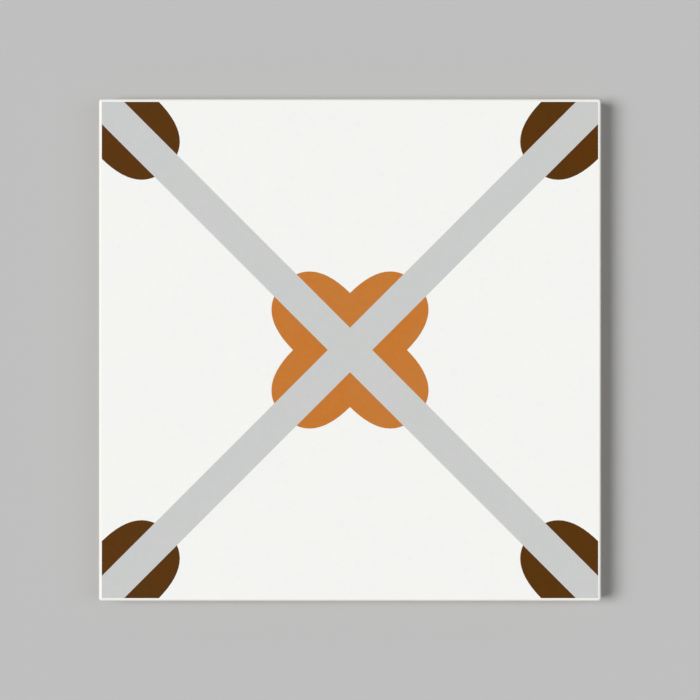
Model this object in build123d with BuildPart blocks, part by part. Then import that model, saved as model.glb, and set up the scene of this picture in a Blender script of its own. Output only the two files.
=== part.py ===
"""Pressed, glazed porcelain floor tile, lying on its keyed back with the glazed face up.

Millimetres, +Z up. The origin is the middle of the back, on the plane of its ribs.
The tile is one fired piece: the glaze and its print are finishes of the same body.
"""

from build123d import *
from math import atan, degrees
import os

# Driving dimensions of the pressed blank
face_side = 200.0  # length and width, over the upright lands of the edges
thickness = 9.0  # from the ribs of the back to the glazed face
corner_radius = 1.2  # upright corners, as the die leaves them
arris_radius = 0.9  # rounded edge of the glazed face

# Taper of the back edge, which frees the blank from the die and gives the bed room to squeeze up
taper_height = 2.5
taper_inset = 0.9

# Keyed back: square pockets between ribs, into which the adhesive grips
pockets_per_side = 6
rib_width = 4.0  # flat top of a rib, between two pockets
rim_width = 5.1  # flat band from the edge of the back to the outer pockets
pocket_depth = 0.6
pocket_wall_run = 0.4  # how far a sloping pocket wall leans in over its depth
pocket_corner_radius = 3.0

# Sizes that follow from those
back_side = face_side - 2 * taper_inset
keyed_side = back_side - 2 * rim_width
pocket_side = (keyed_side - (pockets_per_side - 1) * rib_width) / pockets_per_side
pocket_pitch = pocket_side + rib_width
taper_angle = degrees(atan(taper_inset / taper_height))
pocket_draft = degrees(atan(pocket_wall_run / pocket_depth))

# One pocket of the back, as the solid that it takes away
with BuildPart() as pocket:
    with BuildSketch():
        RectangleRounded(pocket_side, pocket_side, pocket_corner_radius)
    extrude(amount=pocket_depth, taper=pocket_draft)

# The tile: upright land, tapered back edge, rounded arris, keyed back
with BuildPart() as tile:
    with BuildSketch(Plane.XY.offset(taper_height)):
        RectangleRounded(face_side, face_side, corner_radius)
    extrude(amount=thickness - taper_height)
    glazed_face = tile.faces().sort_by(Axis.Z)[-1]
    fillet(glazed_face.edges(), radius=arris_radius)
    extrude(tile.faces().sort_by(Axis.Z)[0], amount=taper_height, taper=taper_angle)
    with GridLocations(pocket_pitch, pocket_pitch, pockets_per_side, pockets_per_side):
        add(pocket.part, mode=Mode.SUBTRACT)
tile.part.label = "floor_tile"

os.makedirs("parts", exist_ok=True)
export_step(tile.part, "parts/floor_tile.step")

print(f"pockets {pockets_per_side} x {pockets_per_side}, each {pocket_side:.2f} mm square")
print(f"tile {tile.part.bounding_box().size}, volume {tile.part.volume / 1000:.1f} cm3")
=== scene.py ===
# %% [markdown]
# # A patterned floor tile
# The object is one square of pressed porcelain, glazed and printed on its face, lying on its back.
# The frame holds its true size. This lesson models the tile again with the fine edges that a camera sees,
# divides its face along the edges of the print, and gives every ink and the bare body a finish of its own.

# %% Load the frame
import math

import bmesh
import bpy
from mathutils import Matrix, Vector


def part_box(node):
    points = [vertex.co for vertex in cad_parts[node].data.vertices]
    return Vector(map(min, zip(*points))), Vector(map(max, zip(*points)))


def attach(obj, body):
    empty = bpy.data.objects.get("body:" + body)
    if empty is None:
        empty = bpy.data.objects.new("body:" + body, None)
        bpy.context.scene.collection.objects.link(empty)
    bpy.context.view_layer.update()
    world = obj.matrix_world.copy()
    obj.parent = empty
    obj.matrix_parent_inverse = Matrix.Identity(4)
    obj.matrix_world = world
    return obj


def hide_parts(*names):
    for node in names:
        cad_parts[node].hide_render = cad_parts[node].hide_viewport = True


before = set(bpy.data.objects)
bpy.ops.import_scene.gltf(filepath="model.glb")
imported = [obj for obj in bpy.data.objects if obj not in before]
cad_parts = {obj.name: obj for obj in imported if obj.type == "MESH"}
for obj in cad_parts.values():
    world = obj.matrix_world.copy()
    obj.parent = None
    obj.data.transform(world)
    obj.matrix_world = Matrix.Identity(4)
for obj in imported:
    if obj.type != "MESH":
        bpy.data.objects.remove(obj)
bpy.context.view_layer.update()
low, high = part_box("floor_tile")
face_side = high.x - low.x
thickness = high.z - low.z
print(f"tile in the frame: {face_side * 1000:.1f} mm square, {thickness * 1000:.1f} mm thick")

# %% [markdown]
# ## Working by hand, in code
# An operator acts on whatever is selected, just as it does under the mouse.
# So each step first makes one object the whole selection, and then picks faces or edges by their place
# or their direction. A few small helpers do that, and everything after them is ordinary modelling.

# %% Helpers for selecting
MM = 0.001
NEAR = 0.002 * MM


def only(piece):
    """Makes one object the whole selection."""
    bpy.ops.object.select_all(action="DESELECT")
    piece.select_set(True)
    bpy.context.view_layer.objects.active = piece


def edit(piece):
    """Opens one object, and no other, in edit mode."""
    only(piece)
    bpy.ops.object.mode_set(mode="EDIT")


def close():
    """Goes back from edit mode to object mode."""
    bpy.ops.object.mode_set(mode="OBJECT")


def pick(piece, kind, wanted):
    """In edit mode, selects the shown faces or edges that pass a test, and returns how many there are."""
    bpy.ops.mesh.select_mode(type=kind)
    bpy.ops.mesh.select_all(action="DESELECT")
    shape = bmesh.from_edit_mesh(piece.data)
    items = shape.faces if kind == "FACE" else shape.edges
    chosen = [item for item in items if not item.hide and wanted(item)]
    for item in chosen:
        item.select_set(True)
    bmesh.update_edit_mesh(piece.data)
    return len(chosen)


def at_height(height):
    """A test for edges that lie level at one height."""
    return lambda edge: all(abs(vertex.co.z - height) < NEAR for vertex in edge.verts)


# %% [markdown]
# ## The pressed blank
# A press squeezes clay powder in a steel die, which leaves an upright land round the tile, a taper below it
# that frees the blank from the die, and a rounded edge, the arris, round the face.
# A cube with bevels would give the same outline, but here the blank grows from its outline instead:
# a plane with rounded corners is raised to the face, and its underside is inset and lowered to the back.
# That keeps the taper and the arris apart, so each can have its own size.

# %% Raise the blank from its outline
corner_radius = 1.2 * MM
taper_height = 2.5 * MM
taper_inset = 0.9 * MM
corner_steps = 8
clearly = 0.9

bpy.ops.object.select_all(action="DESELECT")
bpy.ops.mesh.primitive_plane_add(size=face_side, calc_uvs=False)
tile = bpy.context.object
tile.name = "glazed_tile"
tile.data.name = "glazed_tile"
edit(tile)
bpy.ops.transform.translate(value=(0, 0, taper_height))
bpy.ops.mesh.bevel(affect="VERTICES", offset=corner_radius, segments=corner_steps)
bpy.ops.mesh.extrude_region_move(TRANSFORM_OT_translate={"value": (0, 0, thickness - taper_height)})
bpy.ops.mesh.select_all(action="SELECT")
bpy.ops.mesh.normals_make_consistent(inside=False)
pick(tile, "FACE", lambda face: face.normal.z < -clearly)
bpy.ops.mesh.inset(thickness=taper_inset, depth=taper_height)
close()
print("blank:", len(tile.data.polygons), "faces,", [round(d * 1000, 3) for d in tile.dimensions], "mm")

# %% Round the arris and soften the pressed edges
arris_radius = 0.9 * MM
arris_steps = 8
soft_edge = 0.2 * MM
soft_steps = 2

edit(tile)
arris_edges = pick(tile, "EDGE", at_height(thickness))
bpy.ops.mesh.bevel(affect="EDGES", offset=arris_radius, segments=arris_steps, profile=0.5)
for height in (taper_height, 0):
    pick(tile, "EDGE", at_height(height))
    bpy.ops.mesh.bevel(affect="EDGES", offset=soft_edge, segments=soft_steps, profile=0.5)
close()
print("arris rounded along", arris_edges, "edges,", len(tile.data.polygons), "faces now")

# %% [markdown]
# ## The keyed back
# The lower punch of the press has raised studs, and they leave pockets in which the adhesive grips.
# The pockets could be inset into a grid on the back, but their corners are round and their walls lean.
# So the punch itself is modelled: one stud, repeated by two arrays and pressed in by a boolean.

# %% One stud of the punch
pockets_per_side = 6
rib_width = 4.0 * MM
rim_width = 5.1 * MM
pocket_depth = 0.6 * MM
pocket_wall_run = 0.4 * MM
pocket_corner_radius = 3.0 * MM
pocket_corner_steps = 6
stud_root = 1.0 * MM

keyed_side = face_side - 2 * (taper_inset + rim_width)
pocket_side = (keyed_side - (pockets_per_side - 1) * rib_width) / pockets_per_side
pocket_pitch = pocket_side + rib_width
first_pocket = -(pockets_per_side - 1) * pocket_pitch / 2

bpy.ops.object.select_all(action="DESELECT")
stud_place = (first_pocket, first_pocket, -stud_root)
bpy.ops.mesh.primitive_plane_add(size=pocket_side, location=stud_place, calc_uvs=False)
punch = bpy.context.object
edit(punch)
bpy.ops.mesh.bevel(affect="VERTICES", offset=pocket_corner_radius, segments=pocket_corner_steps)
bpy.ops.mesh.extrude_region_move(TRANSFORM_OT_translate={"value": (0, 0, stud_root)})
bpy.ops.mesh.select_all(action="SELECT")
bpy.ops.mesh.normals_make_consistent(inside=False)
pick(punch, "FACE", lambda face: face.normal.z > clearly)
bpy.ops.mesh.inset(thickness=pocket_wall_run, depth=pocket_depth)
close()
print("stud:", [round(d * 1000, 3) for d in punch.dimensions], "mm")

# %% Repeat the stud and press it in
only(punch)
for step in ((pocket_pitch, 0, 0), (0, pocket_pitch, 0)):
    row = punch.modifiers.new("row_of_studs", "ARRAY")
    row.count = pockets_per_side
    row.use_relative_offset = False
    row.use_constant_offset = True
    row.constant_offset_displace = step
    bpy.ops.object.modifier_apply(modifier=row.name)

only(tile)
press = tile.modifiers.new("pressed_back", "BOOLEAN")
press.operation = "DIFFERENCE"
press.solver = "EXACT"
press.object = punch
bpy.ops.object.modifier_apply(modifier=press.name)
bpy.data.objects.remove(punch)
print("keyed back pressed,", len(tile.data.polygons), "faces now")

# %% Soften the ribs
rib_edge = 0.15 * MM
least_fold = math.radians(20)


def on_rib(edge):
    """True for the edges round the mouths of the pockets."""
    level = at_height(0)(edge)
    folded = len(edge.link_faces) == 2 and edge.calc_face_angle() > least_fold
    inside = all(max(abs(vertex.co.x), abs(vertex.co.y)) < keyed_side / 2 + NEAR for vertex in edge.verts)
    return level and folded and inside


edit(tile)
rib_edges = pick(tile, "EDGE", on_rib)
bpy.ops.mesh.bevel(affect="EDGES", offset=rib_edge, segments=soft_steps, profile=0.5)
close()
print("softened", rib_edges, "rib edges,", len(tile.data.polygons), "faces now")

# %% [markdown]
# ## The print, as lines in the mesh
# The print is a lattice of two diagonal bands, with a four-lobed flower at each crossing, and it stops
# a little short of the edge, where a narrow margin of plain glaze goes over the arris.
# It could be drawn by maths in a shader, and its edges would then be only as sharp as the baked picture.
# Here the flat of the face is divided along the edges of the inks, so that they stay sharp at any distance
# and every ink can have a finish of its own. Margin and bands are straight, so bisect cuts them.

# %% Cut the margin and the bands
print_margin = 1.25 * MM
band_width = 12.5 * MM
dead_level = 0.9999

print_half = face_side / 2 - print_margin
diagonal = math.sqrt(0.5)
straight = ((1, 0, 0), (0, 1, 0))
slanting = ((diagonal, diagonal, 0), (diagonal, -diagonal, 0))


def on_face(face):
    """True for the parts of the flat glazed face."""
    return face.normal.z > dead_level and face.calc_center_median().z > thickness - NEAR


edit(tile)
for directions, distance in ((straight, print_half), (slanting, band_width / 2)):
    for across in directions:
        for shift in (-distance, distance):
            pick(tile, "FACE", on_face)
            bpy.ops.mesh.bisect(plane_co=[shift * part for part in across], plane_no=across)
face_parts = pick(tile, "FACE", on_face)
close()
print("margin and bands cut the face into", face_parts, "parts")

# %% [markdown]
# ## The flowers
# Each flower is a square on its point with a round lobe on each side, the old way to set out a quatrefoil.
# A circle of Bezier points is subdivided to eight, four of them are drawn in to the notches and four out to
# the tips, and longer handles make the lobes fuller than a true circle. Raised into a thin wall, like a
# pastry cutter, the outline is set down on the middle and on the corners, and Intersect cuts the face there.

# %% Draw one flower
flower_square = 32.1 * MM
lobe_depth = 21.4 * MM
lobe_fullness = 0.66
curve_steps = 14
eighth_turn = math.pi / 4

notch_reach = flower_square * diagonal
tip_reach = flower_square / 2 + lobe_depth

bpy.ops.object.select_all(action="DESELECT")
bpy.ops.curve.primitive_bezier_circle_add(radius=notch_reach)
cutter = bpy.context.object
bpy.ops.object.mode_set(mode="EDIT")
bpy.ops.curve.select_all(action="SELECT")
bpy.ops.curve.subdivide(number_cuts=1)
close()
cutter.data.resolution_u = curve_steps
points = cutter.data.splines[0].bezier_points


def heading(eighth):
    """The unit direction at a number of eighths of a turn, as a vector in the plane of the face."""
    angle = eighth * eighth_turn
    return Vector((math.cos(angle), math.sin(angle), 0))


eighths = [round(math.atan2(point.co.y, point.co.x) / eighth_turn) for point in points]
onward = (eighths[1] - eighths[0] + 4) % 8 - 4  # 1 or -1, the way round in which the points follow
for point, eighth in zip(points, eighths):
    point.handle_left_type = "FREE"
    point.handle_right_type = "FREE"
    is_tip = eighth % 2 == 1
    if is_tip:
        point.co = heading(eighth) * tip_reach
        lead = lobe_fullness * flower_square / 2
        turn = 2 * onward
    else:
        point.co = heading(eighth) * notch_reach
        lead = lobe_fullness * lobe_depth
        turn = onward
    point.handle_left = point.co + heading(eighth - turn) * lead
    point.handle_right = point.co + heading(eighth + turn) * lead
print(f"flower of {len(points)} points, {2 * tip_reach * 1000:.1f} mm from tip to tip")

# %% Make the outline a cutter and set it down five times
flower_pitch = 99.0 * MM
wall_reach = 0.5 * MM

only(cutter)
bpy.ops.object.convert(target="MESH")
cutter = bpy.context.object
outline = [(vertex.co.x, vertex.co.y) for vertex in cutter.data.vertices]
edit(cutter)
bpy.ops.mesh.select_mode(type="EDGE")
bpy.ops.mesh.select_all(action="SELECT")
bpy.ops.transform.translate(value=(0, 0, thickness - wall_reach))
bpy.ops.mesh.extrude_region_move(TRANSFORM_OT_translate={"value": (0, 0, 2 * wall_reach)})
close()

cutters = [cutter]
for x in (-flower_pitch, flower_pitch):
    for y in (-flower_pitch, flower_pitch):
        only(cutter)
        bpy.ops.object.duplicate()
        copy = bpy.context.object
        copy.location = (x, y, 0)
        cutters.append(copy)

only(tile)
for piece in cutters:
    piece.select_set(True)
bpy.ops.object.join()
print("cutters on the face:", len(cutters), "each with", len(outline), "sides")

# %% Cut the flowers out of the face


def is_wall(face):
    """True for the walls of the cutters, the only faces that stand higher than the tile."""
    return any(vertex.co.z > thickness + NEAR for vertex in face.verts)


def is_upright(face):
    """True for the walls and their cut pieces, when only they and the flat face are shown."""
    return abs(face.normal.z) < clearly


edit(tile)
pick(tile, "FACE", lambda face: on_face(face) or is_wall(face))
bpy.ops.mesh.hide(unselected=True)
pick(tile, "FACE", is_upright)
bpy.ops.mesh.intersect(mode="SELECT_UNSELECT", separate_mode="NONE", solver="FAST")
pick(tile, "FACE", is_upright)
bpy.ops.mesh.delete(type="FACE")
bpy.ops.mesh.reveal(select=False)
face_parts = pick(tile, "FACE", on_face)
bpy.ops.mesh.quads_convert_to_tris(quad_method="BEAUTY", ngon_method="BEAUTY")
close()
print("face in", face_parts, "parts,", len(tile.data.polygons), "faces on the tile")

# %% Check that the tile is still closed
shape = bmesh.new()
shape.from_mesh(tile.data)
open_edges = sum(not edge.is_manifold for edge in shape.edges)
volume = shape.calc_volume()
shape.free()
print("open edges:", open_edges, "and volume:", round(volume * 1e6, 2), "cm3")

# %% [markdown]
# ## Which ink goes where
# The face is now triangles, and none of them crosses an edge of the print. So the middle of a triangle
# tells its ink: first the plain margin, then the bands, which are printed over everything, then the flowers.
# A point is in a flower if a line from it to the right crosses the outline an odd number of times.
# The arris is glazed and carries no ink, and everything below it is the bare porcelain body.

# %% Name the finishes and sort the faces
finishes = ["white_glaze", "grey_ink", "orange_ink", "brown_ink", "porcelain_body"]


def in_flower(x, y):
    """True inside the outline of a flower that is centred on the origin."""
    crossings = 0
    for (x1, y1), (x2, y2) in zip(outline, outline[1:] + outline[:1]):
        if (y1 > y) != (y2 > y) and x < x1 + (y - y1) * (x2 - x1) / (y2 - y1):
            crossings += 1
    return crossings % 2 == 1


def finish_of(face):
    """The name of the finish that a face of the tile wears."""
    x, y, z = face.center
    x = abs(x)
    y = abs(y)
    if z < thickness - arris_radius:
        return "porcelain_body"
    if z < thickness - NEAR or max(x, y) > print_half:
        return "white_glaze"
    if abs(x - y) * diagonal < band_width / 2:
        return "grey_ink"
    if in_flower(x, y):
        return "orange_ink"
    if in_flower(x - flower_pitch, y - flower_pitch):
        return "brown_ink"
    return "white_glaze"


sorted_faces = [finish_of(face) for face in tile.data.polygons]
for name in finishes:
    area = sum(face.area for face, finish in zip(tile.data.polygons, sorted_faces) if finish == name)
    print(f"{name}: {area * 1e4:.2f} cm2")

# %% [markdown]
# ## Node helpers
# Every finish below is a tree of shader nodes. These helpers add a node, fill its sockets with numbers,
# colours or links, and hand back the socket that the next node needs.

# %% Helpers for any node


def feed(tree, socket, value):
    """Links a socket to another node's output, or sets it to a plain value."""
    if isinstance(value, bpy.types.NodeSocket):
        tree.links.new(value, socket)
    else:
        socket.default_value = value


def fill(tree, node, inputs):
    """Feeds a node's inputs by name, with _ for a space."""
    for name, value in inputs.items():
        feed(tree, node.inputs[name.replace("_", " ")], value)


def add_node(tree, kind, **inputs):
    """Adds a node and fills its inputs."""
    node = tree.nodes.new("ShaderNode" + kind)
    fill(tree, node, inputs)
    return node


def new_group(name, inputs, outputs):
    """A shader node group with named sockets, each given as a name and a kind."""
    group = bpy.data.node_groups.new(name, "ShaderNodeTree")
    for side, sockets in (("INPUT", inputs), ("OUTPUT", outputs)):
        for label, kind in sockets:
            group.interface.new_socket(name=label, in_out=side, socket_type="NodeSocket" + kind)
    return group, group.nodes.new("NodeGroupInput").outputs, group.nodes.new("NodeGroupOutput").inputs


def place_group(tree, group, **inputs):
    """Puts a group into a tree, fills its inputs and returns its outputs."""
    node = tree.nodes.new("ShaderNodeGroup")
    node.node_tree = group
    fill(tree, node, inputs)
    return node.outputs


# %% Helpers for numbers, noise and colours
patch_limits = (0.35, 0.65)


def maths(tree, operation, *values):
    """A Math node on plain values or sockets."""
    node = tree.nodes.new("ShaderNodeMath")
    node.operation = operation
    for socket, value in zip(node.inputs, values):
        feed(tree, socket, value)
    return node.outputs[0]


def ramp(tree, value, start, end):
    """0 before start, 1 after end, and a smooth rise between them."""
    node = add_node(tree, "MapRange", Value=value, From_Min=start, From_Max=end)
    node.interpolation_type = "SMOOTHSTEP"
    return node.outputs["Result"]


def noise(tree, place, scale, detail):
    """Soft noise between 0 and 1, with a number of patches to the metre."""
    return add_node(tree, "TexNoise", Vector=place, Scale=scale, Detail=detail).outputs["Fac"]


def patches(tree, value):
    """Noise drawn apart into patches of 0 and of 1 with soft edges."""
    return ramp(tree, value, *patch_limits)


def swing(tree, value, width):
    """A noise value moved to lie about zero and stretched to a width."""
    return maths(tree, "MULTIPLY", maths(tree, "SUBTRACT", value, 0.5), width)


def blend_colours(tree, share, first, second):
    """A mix of two colours, with the share of the second. The Mix node keeps colours at 6 and 7."""
    node = tree.nodes.new("ShaderNodeMix")
    node.data_type = "RGBA"
    for index, value in ((0, share), (6, first), (7, second)):
        feed(tree, node.inputs[index], value)
    return node.outputs[2]


def blend_values(tree, share, first, second):
    """A mix of two numbers, with the share of the second. The Mix node keeps numbers at 2 and 3."""
    node = tree.nodes.new("ShaderNodeMix")
    for index, value in ((0, share), (2, first), (3, second)):
        feed(tree, node.inputs[index], value)
    return node.outputs[0]


def scale_colour(tree, colour, level):
    """A colour made lighter or darker by a level about 1."""
    node = add_node(tree, "VectorMath", Vector=colour)
    node.operation = "SCALE"
    feed(tree, node.inputs["Scale"], level)
    return node.outputs["Vector"]


def linear(red, green, blue):
    """A colour written as display values from 0 to 255, as the light values that the shader works in."""
    parts = []
    for value in (red, green, blue):
        share = value / 255
        parts.append(share / 12.92 if share <= 0.04045 else ((share + 0.055) / 1.055) ** 2.4)
    return (*parts, 1.0)


# %% [markdown]
# ## Scattered spots
# Glaze has a stray pinhole here and there, and the bare body is sown with tiny specks. Both are round spots
# in a few of the cells of a Voronoi texture, so they share one group. Its inputs are the cells to the metre,
# the radius of a spot as a share of its cell, and the share of the cells that stay empty.

# %% The spot group
spot_edge = 0.6
chance_blur = 0.05

scattered_spots, given, result = new_group(
    "scattered_spots",
    [("Scale", "Float"), ("Radius", "Float"), ("Empty", "Float")],
    [("Mask", "Float")],
)
place = add_node(scattered_spots, "TexCoord").outputs["Object"]
cells = add_node(scattered_spots, "TexVoronoi", Vector=place, Scale=given["Scale"]).outputs
inner = maths(scattered_spots, "MULTIPLY", given["Radius"], spot_edge)
outside = ramp(scattered_spots, cells["Distance"], inner, given["Radius"])
chance = add_node(scattered_spots, "SeparateColor", Color=cells["Color"]).outputs["Red"]
sure = maths(scattered_spots, "ADD", given["Empty"], chance_blur)
chosen = ramp(scattered_spots, chance, given["Empty"], sure)
spot = maths(scattered_spots, "MULTIPLY", maths(scattered_spots, "SUBTRACT", 1.0, outside), chosen)
feed(scattered_spots, result["Mask"], spot)
print("spot group of", len(scattered_spots.nodes), "nodes")

# %% [markdown]
# ## The skin of the glaze
# A satin glaze is never quite even. It lies in shallow ripples from the spray, its colour drifts between
# two near tones, and under a lens the ink is a grain of fine dots. Where it runs thin, as over an edge,
# it is duller and the warmer body shows through. White glaze and all the inks share that skin, so it is
# a node group, placed in each material with its own tones and strength of grain.

# %% The glaze group
drift_scale = 70.0
ripple_scale = 130.0
mottle_scale = 450.0
grain_scale = 2600.0
pinhole_scale = 120.0
pinhole_radius = 0.025
pinhole_empty = 0.85
pinhole_shade = 0.15
pinhole_depth = 0.3
mottle_height = 0.3
grain_height = 0.04
shine_drift = 0.14
thin_colour = linear(227, 224, 215)
thin_dulling = 0.25
thin_drop = 0.1 * arris_radius

skin, given, result = new_group(
    "glaze_skin",
    [("Color", "Color"), ("Other Color", "Color"), ("Thin", "Float"), ("Grain", "Float"),
     ("Roughness", "Float")],
    [("Color", "Color"), ("Roughness", "Float"), ("Height", "Float")],
)
place = add_node(skin, "TexCoord").outputs["Object"]
drift = noise(skin, place, drift_scale, detail=3.0)
ripple = noise(skin, place, ripple_scale, detail=2.0)
mottle = noise(skin, place, mottle_scale, detail=3.0)
grain = noise(skin, place, grain_scale, detail=1.0)
pinhole = place_group(
    skin, scattered_spots, Scale=pinhole_scale, Radius=pinhole_radius, Empty=pinhole_empty
)["Mask"]

toned = blend_colours(skin, patches(skin, drift), given["Color"], given["Other Color"])
toned = blend_colours(skin, given["Thin"], toned, thin_colour)
fine = maths(skin, "ADD", swing(skin, mottle, 1.0), swing(skin, grain, 1.0))
level = maths(skin, "MULTIPLY_ADD", fine, given["Grain"], 1.0)
level = maths(skin, "MULTIPLY_ADD", pinhole, -pinhole_shade, level)
feed(skin, result["Color"], scale_colour(skin, toned, level))
dull = maths(skin, "MULTIPLY_ADD", given["Thin"], thin_dulling, given["Roughness"])
feed(skin, result["Roughness"], maths(skin, "ADD", dull, swing(skin, mottle, shine_drift)))
swell = maths(skin, "MULTIPLY_ADD", mottle, mottle_height, ripple)
swell = maths(skin, "MULTIPLY_ADD", grain, grain_height, swell)
feed(skin, result["Height"], maths(skin, "MULTIPLY_ADD", pinhole, -pinhole_depth, swell))
print("glaze skin of", len(skin.nodes), "nodes")

# %% Glaze and inks
glaze_relief = 0.025 * MM
glaze_shine = 0.2
ink_roughness = 0.34
plain_glaze = {
    "Color": linear(244, 244, 241),
    "Other_Color": linear(243, 244, 241),
    "Grain": 0.03,
    "Roughness": 0.3,
}
inks = {
    "grey_ink": (linear(200, 203, 201), linear(202, 203, 202), 0.06),
    "orange_ink": (linear(198, 119, 46), linear(196, 121, 52), 0.12),
    "brown_ink": (linear(89, 49, 0), linear(86, 50, 3), 0.16),
}


def glazed(name, look):
    """A material of glaze, plain or printed, that runs thin over the arris."""
    material = bpy.data.materials.new(name)
    material.use_nodes = True
    tree = material.node_tree
    shader = tree.nodes["Principled BSDF"]
    place = add_node(tree, "TexCoord").outputs["Object"]
    height = add_node(tree, "SeparateXYZ", Vector=place).outputs["Z"]
    full = ramp(tree, height, thickness - thin_drop, thickness)
    surface = place_group(tree, skin, Thin=maths(tree, "SUBTRACT", 1.0, full), **look)
    relief = add_node(tree, "Bump", Strength=1.0, Distance=glaze_relief, Height=surface["Height"])
    feed(tree, shader.inputs["Base Color"], surface["Color"])
    feed(tree, shader.inputs["Roughness"], surface["Roughness"])
    feed(tree, shader.inputs["Normal"], relief.outputs["Normal"])
    shader.inputs["Specular IOR Level"].default_value = glaze_shine
    return material


materials = {"white_glaze": glazed("white_glaze", plain_glaze)}
for name, (tone, other_tone, grain_share) in inks.items():
    look = {"Color": tone, "Other_Color": other_tone, "Grain": grain_share, "Roughness": ink_roughness}
    materials[name] = glazed(name, look)
print("glazes:", ", ".join(materials))

# %% [markdown]
# ## The bare body
# Below the arris the porcelain is unglazed: a pale, dry, fine-grained stone with tiny iron specks, and with
# upright drag marks on the land where the blank slid out of the die. The glaze was sprayed on from above,
# so it laps a little way down the land and ends in a ragged line. On the ribs of the back lies a thin white
# wash that keeps a tile from sticking to the kiln. All of that depends on height, so one material reads
# the height from the Object coordinates and mixes the glaze, the body and the wash.

# %% The colour of the clay, its specks and its wash
body_colour = linear(199, 188, 171)
speck_colour = linear(134, 116, 95)
wash_colour = linear(238, 236, 231)
clay_scale = 1500.0
cloud_scale = 60.0
clay_swing = 0.1
cloud_swing = 0.1
speck_scale = 700.0
speck_radius = 0.22
speck_empty = 0.75
speck_strength = 0.6
wash_strength = 0.7
wash_limits = (0.05 * MM, 0.25 * MM)


def clay_colour(tree, place, height):
    """The colour of the body, cloudy, specked, and washed white on the ribs."""
    clouds = noise(tree, place, cloud_scale, detail=3.0)
    grain = noise(tree, place, clay_scale, detail=3.0)
    tone = maths(tree, "ADD", swing(tree, clouds, cloud_swing), swing(tree, grain, clay_swing))
    clay = scale_colour(tree, body_colour[:3], maths(tree, "ADD", 1.0, tone))
    specks = place_group(
        tree, scattered_spots, Scale=speck_scale, Radius=speck_radius, Empty=speck_empty
    )["Mask"]
    clay = blend_colours(tree, maths(tree, "MULTIPLY", specks, speck_strength), clay, speck_colour)
    on_ribs = maths(tree, "SUBTRACT", 1.0, ramp(tree, height, *wash_limits))
    wash = maths(tree, "MULTIPLY", on_ribs, patches(tree, clouds))
    return blend_colours(tree, maths(tree, "MULTIPLY", wash, wash_strength), clay, wash_colour)


# %% The grain of the clay and the drag marks
drag_stretch = (900.0, 900.0, 45.0)
drag_limits = (1.0 * MM, taper_height)
drag_height = 0.5


def clay_relief(tree, place, height):
    """The dry grain of the body, with the drag marks of the die on the land."""
    stretched = add_node(tree, "Mapping", Vector=place, Scale=drag_stretch).outputs["Vector"]
    drag_marks = noise(tree, stretched, scale=1.0, detail=2.0)
    on_land = maths(tree, "MULTIPLY", ramp(tree, height, *drag_limits), drag_height)
    grain = noise(tree, place, clay_scale, detail=3.0)
    return maths(tree, "ADD", grain, maths(tree, "MULTIPLY", drag_marks, on_land))


# %% The lap of the glaze, and the body material
lap_height = 7.3 * MM
lap_ragged = 1.8 * MM
lap_soft = 0.5 * MM
lap_scale = 260.0
body_relief = 0.05 * MM
body_roughness = 0.78


def glaze_lap(tree, place, height):
    """1 where the sprayed glaze has run down over the land, with a ragged lower edge."""
    ragged = swing(tree, noise(tree, place, lap_scale, detail=4.0), lap_ragged)
    return ramp(tree, maths(tree, "ADD", height, ragged), lap_height - lap_soft, lap_height + lap_soft)


body = bpy.data.materials.new("porcelain_body")
body.use_nodes = True
tree = body.node_tree
shader = tree.nodes["Principled BSDF"]
place = add_node(tree, "TexCoord").outputs["Object"]
height = add_node(tree, "SeparateXYZ", Vector=place).outputs["Z"]
lap = glaze_lap(tree, place, height)
surface = place_group(tree, skin, Thin=1.0, **plain_glaze)
feed(tree, shader.inputs["Base Color"],
     blend_colours(tree, lap, clay_colour(tree, place, height), surface["Color"]))
feed(tree, shader.inputs["Roughness"], blend_values(tree, lap, body_roughness, surface["Roughness"]))
rise = blend_values(tree, lap, clay_relief(tree, place, height), 1.0)
relief = add_node(tree, "Bump", Strength=1.0, Distance=body_relief, Height=rise)
feed(tree, shader.inputs["Normal"], relief.outputs["Normal"])
shader.inputs["Specular IOR Level"].default_value = glaze_shine
materials["porcelain_body"] = body
print("body of", len(tree.nodes), "nodes")

# %% Dress the tile
tile.data.materials.clear()
for name in finishes:
    tile.data.materials.append(materials[name])
for face, finish in zip(tile.data.polygons, sorted_faces):
    face.material_index = finishes.index(finish)
print("finishes on the tile:", ", ".join(material.name for material in tile.data.materials))

# %% [markdown]
# ## Smooth where it is round, flat where it is flat
# The arris and the corners are rounded by a few narrow strips, and smooth shading joins them into one curve.
# It would also bend the light on the flat face beside them, so a Weighted Normal modifier
# gives the large flat faces the last word.

# %% Shade the tile
smooth_angle = math.radians(35)

only(tile)
bpy.ops.object.shade_smooth_by_angle(angle=smooth_angle)
weighted = tile.modifiers.new("flat_faces_first", "WEIGHTED_NORMAL")
weighted.keep_sharp = True
bpy.ops.object.modifier_apply(modifier=weighted.name)
print("shaded", len(tile.data.polygons), "faces")

# %% [markdown]
# ## A map for baking
# When the tile leaves Blender, its finishes are baked into one square picture. Unwrapped as a whole,
# the inks would lie side by side in one island, and the pixels of the picture would blur their edges.
# So each finish is unwrapped by itself, and the islands are packed with a margin: an edge of the print is
# then an edge of the map too, and stays sharper. Compact islands pack best and leave more pixels to each,
# so the white is cut into its four sides and the bands into their four arms. The back is seldom seen,
# so its islands are shrunk first.

# %% Share the faces out among the parts of the map
back = ("porcelain_body", True)


def map_part(face, finish):
    """Names the part of the map for a face: its finish, and the side, the arm or the back that it is on."""
    x, y, z = face.center
    if finish == "white_glaze":
        return finish, abs(x) > abs(y), x + y > 0
    if finish == "grey_ink":
        return finish, x > 0, y > 0
    if finish == "porcelain_body":
        return finish, z < pocket_depth + NEAR
    return (finish,)


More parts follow.
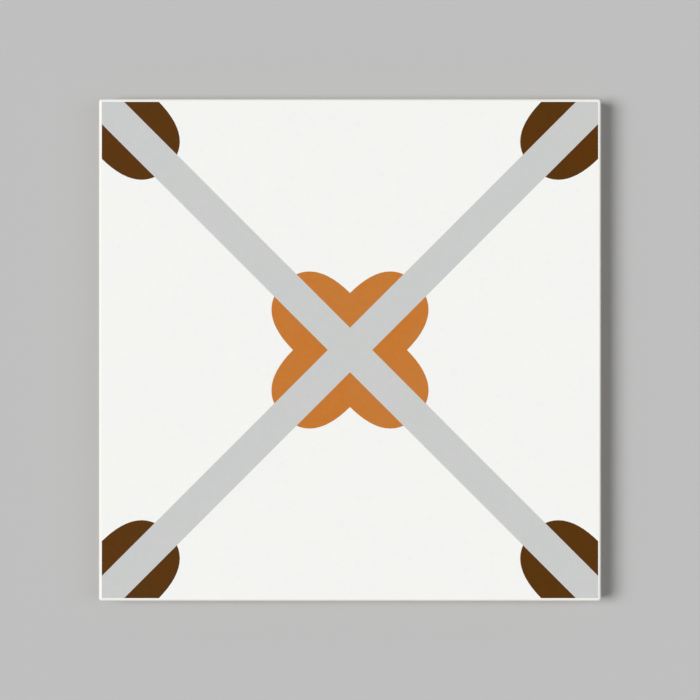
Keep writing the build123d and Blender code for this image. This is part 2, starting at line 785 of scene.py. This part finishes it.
map_parts = [map_part(face, finish) for face, finish in zip(tile.data.polygons, sorted_faces)]
print("parts to unwrap:", len(set(map_parts)), "with", map_parts.count(back), "faces on the back")

# %% Unwrap each part by itself
map_angle = math.radians(66)
map_margin = 0.004
back_share = 0.4

tile.data.uv_layers.new(name="OFBake")
edit(tile)
for part in sorted(set(map_parts)):
    pick(tile, "FACE", lambda face: map_parts[face.index] == part)
    bpy.ops.uv.smart_project(angle_limit=map_angle)
bpy.ops.mesh.select_all(action="SELECT")
bpy.ops.uv.select_all(action="SELECT")
bpy.ops.uv.average_islands_scale()
close()
bake_map = tile.data.uv_layers["OFBake"]
for face, part in zip(tile.data.polygons, map_parts):
    if part == back:
        for corner in face.loop_indices:
            bake_map.uv[corner].vector *= back_share
edit(tile)
bpy.ops.mesh.select_all(action="SELECT")
bpy.ops.uv.select_all(action="SELECT")
bpy.ops.uv.pack_islands(margin=map_margin)
close()

# %% Measure the map
bake_map = tile.data.uv_layers["OFBake"]
glaze_faces = [face for face, finish in zip(tile.data.polygons, sorted_faces) if finish == "white_glaze"]
widest = max(glaze_faces, key=lambda face: face.area)
start, end = [tile.data.vertices[vertex].co for vertex in widest.vertices[:2]]
map_start, map_end = [bake_map.uv[corner].vector for corner in widest.loop_indices[:2]]
map_scale = (map_end - map_start).length / (end - start).length
print(f"1 mm of the glaze is {map_scale * MM:.5f} of the width of the map")

# %% [markdown]
# ## Floor, light and camera
# The tile lies on a plain pale floor. A broad, soft key from the left throws the short shadow to the right,
# and a weak fill from the right throws a faint one to the left. They could be area lamps, but far lamps light
# every part of the face alike. The rest is sky: as bright as the floor at the horizon, so that the two run
# together, and dim overhead, where a glaze would mirror it into the camera.
# The key makes up what the sky and the fill leave, so a colour renders about as it is written.

# %% The floor
floor_size = 30.0
floor_drop = 0.05 * MM
floor_colour = linear(190, 190, 190)

bpy.ops.object.select_all(action="DESELECT")
bpy.ops.mesh.primitive_plane_add(size=floor_size, location=(0, 0, -floor_drop))
floor = bpy.context.object
floor.name = "floor"
paint = bpy.data.materials.new("floor_paint")
paint.use_nodes = True
paint_shader = paint.node_tree.nodes["Principled BSDF"]
paint_shader.inputs["Base Color"].default_value = floor_colour
paint_shader.inputs["Roughness"].default_value = 1.0
paint_shader.inputs["Specular IOR Level"].default_value = 0.0
floor.data.materials.append(paint)
print(f"floor {floor_size:.0f} m square, {floor_drop * 1000:.2f} mm below the tile")

# %% The sky
light_level = 1.015
horizon = light_level * floor_colour[0]
overhead = 0.1
sky_fade = (0.25, 0.60)
white_light = (1.0, 1.0, 1.0, 1.0)

world = bpy.data.worlds.new("studio")
bpy.context.scene.world = world
world.use_nodes = True
sky = world.node_tree
climb = add_node(sky, "SeparateXYZ", Vector=add_node(sky, "TexCoord").outputs["Generated"]).outputs["Z"]
strength = blend_values(sky, ramp(sky, climb, *sky_fade), horizon, overhead)
feed(sky, sky.nodes["Background"].inputs["Color"], white_light)
feed(sky, sky.nodes["Background"].inputs["Strength"], strength)


def sky_brightness(height):
    """What the nodes give in a direction whose sine of elevation is the height."""
    share = min(max((height - sky_fade[0]) / (sky_fade[1] - sky_fade[0]), 0), 1)
    return horizon + (overhead - horizon) * share * share * (3 - 2 * share)


sky_steps = 200
heights = [(step + 0.5) / sky_steps for step in range(sky_steps)]
sky_share = sum(2 * height * sky_brightness(height) for height in heights) / sky_steps
print(f"the sky gives {sky_share:.3f} of the light on a level face")

# %% The key and the fill
lamp_height = math.radians(47)
key_spread = math.radians(32)
fill_spread = math.radians(50)
fill_share = 0.16


def lamp(name, side, share, spread):
    """A broad, far lamp on the left (-1) or the right (1), for a share of the light on a level face."""
    tilt = side * (math.pi / 2 - lamp_height)
    bpy.ops.object.light_add(type="SUN", location=(side, 0, 1), rotation=(0, tilt, 0))
    bpy.context.object.name = name
    bpy.context.object.data.angle = spread
    bpy.context.object.data.energy = share * math.pi / math.sin(lamp_height)


key_share = light_level - sky_share - fill_share
lamp("soft_key", -1, key_share, key_spread)
lamp("soft_fill", 1, fill_share, fill_spread)
print(f"the key gives {key_share:.3f} and the fill {fill_share:.3f}")

# %% The camera
image_width = 700
tile_width_in_image = 502
lens = 100.0
sensor = 36.0

frame_width = face_side * image_width / tile_width_in_image
camera_height = thickness - arris_radius + frame_width * lens / sensor
bpy.ops.object.camera_add(location=(0, 0, camera_height), rotation=(0, 0, 0))
camera = bpy.context.object
camera.data.lens = lens
camera.data.sensor_width = sensor
bpy.context.scene.camera = camera
bpy.context.scene.view_settings.view_transform = "Standard"
print(f"camera {camera_height:.3f} m above the floor")

# %% Size, ride and finish
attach(tile, "root")
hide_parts("floor_tile")
